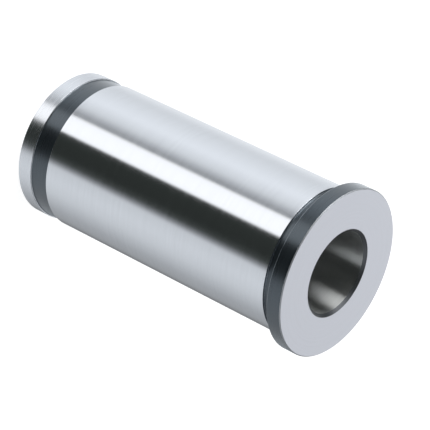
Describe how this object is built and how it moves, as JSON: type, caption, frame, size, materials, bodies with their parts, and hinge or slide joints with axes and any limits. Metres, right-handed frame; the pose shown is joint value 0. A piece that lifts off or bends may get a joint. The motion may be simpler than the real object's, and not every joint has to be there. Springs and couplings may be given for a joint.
{
  "type": "morse taper collet",
  "caption": "Straight-shank sleeve with a flange and an inner Morse taper socket, for holding taper-shank tools in a straight-bore chuck.",
  "frame": {"origin": "centre of the rear end face, on which the collet stands", "axes": "+Z along the turning axis, from the rear end to the flange and the mouth of the taper socket; X and Y are square to it and alike"},
  "size_m": [0.036, 0.036, 0.073],
  "materials": {
    "ground_steel": "hardened tool steel, ground bright on the shank, ends and socket, left dark on the flange rim, the undercut and the rear groove"
  },
  "bodies": {
    "root": {"collet_body": "ground_steel"}
  },
  "joints": []
}
